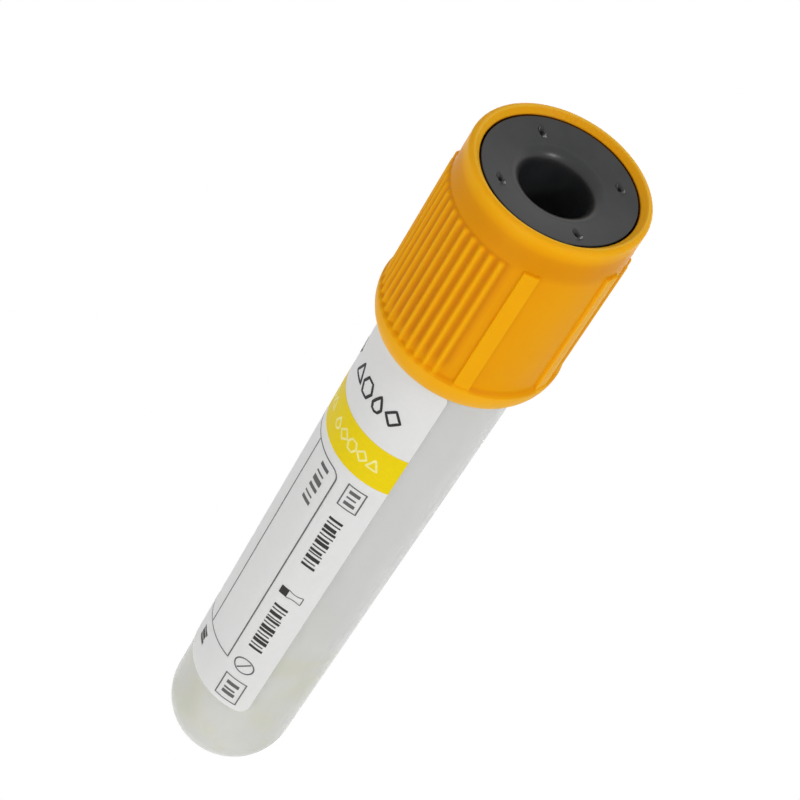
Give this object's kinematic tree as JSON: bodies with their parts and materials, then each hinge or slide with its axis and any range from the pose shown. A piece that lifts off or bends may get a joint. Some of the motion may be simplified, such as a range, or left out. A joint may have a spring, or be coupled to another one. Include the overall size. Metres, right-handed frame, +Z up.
{
  "type": "blood collection tube",
  "caption": "Clear round-bottomed vacuum tube with separator gel, a wrap label with a clear window, and a ribbed pull-off cap over a rubber stopper, standing on its cap.",
  "frame": {"origin": "on the tube's axis, on the surface that the part stands on", "axes": "+Z up, along the tube's axis from the rim of the cap toward the round bottom. The part stands upside down on the rim of its cap, because its bottom is round and it rolls when it lies. -Y is the front, where one end of the label and a plain panel of the cap face."},
  "size_m": [0.0166, 0.0166, 0.0838],
  "materials": {
    "tube_plastic": "clear moulded PET, glossy",
    "gel": "translucent pale yellow gel",
    "label_film": "white satin film with grey and yellow print",
    "stopper_rubber": "dark grey matt butyl rubber",
    "cap_plastic": "golden yellow satin polyethylene"
  },
  "bodies": {
    "closure": {"cap": "cap_plastic", "rubber_stopper": "stopper_rubber"},
    "tube_body": {"tube": "tube_plastic", "separator_gel": "gel", "label": "label_film"}
  },
  "joints": [
    {"name": "closure_pull", "type": "slide", "parent": "closure", "child": "tube_body", "axis": [0, 0, 1], "range_m": [0, 0.025]}
  ]
}
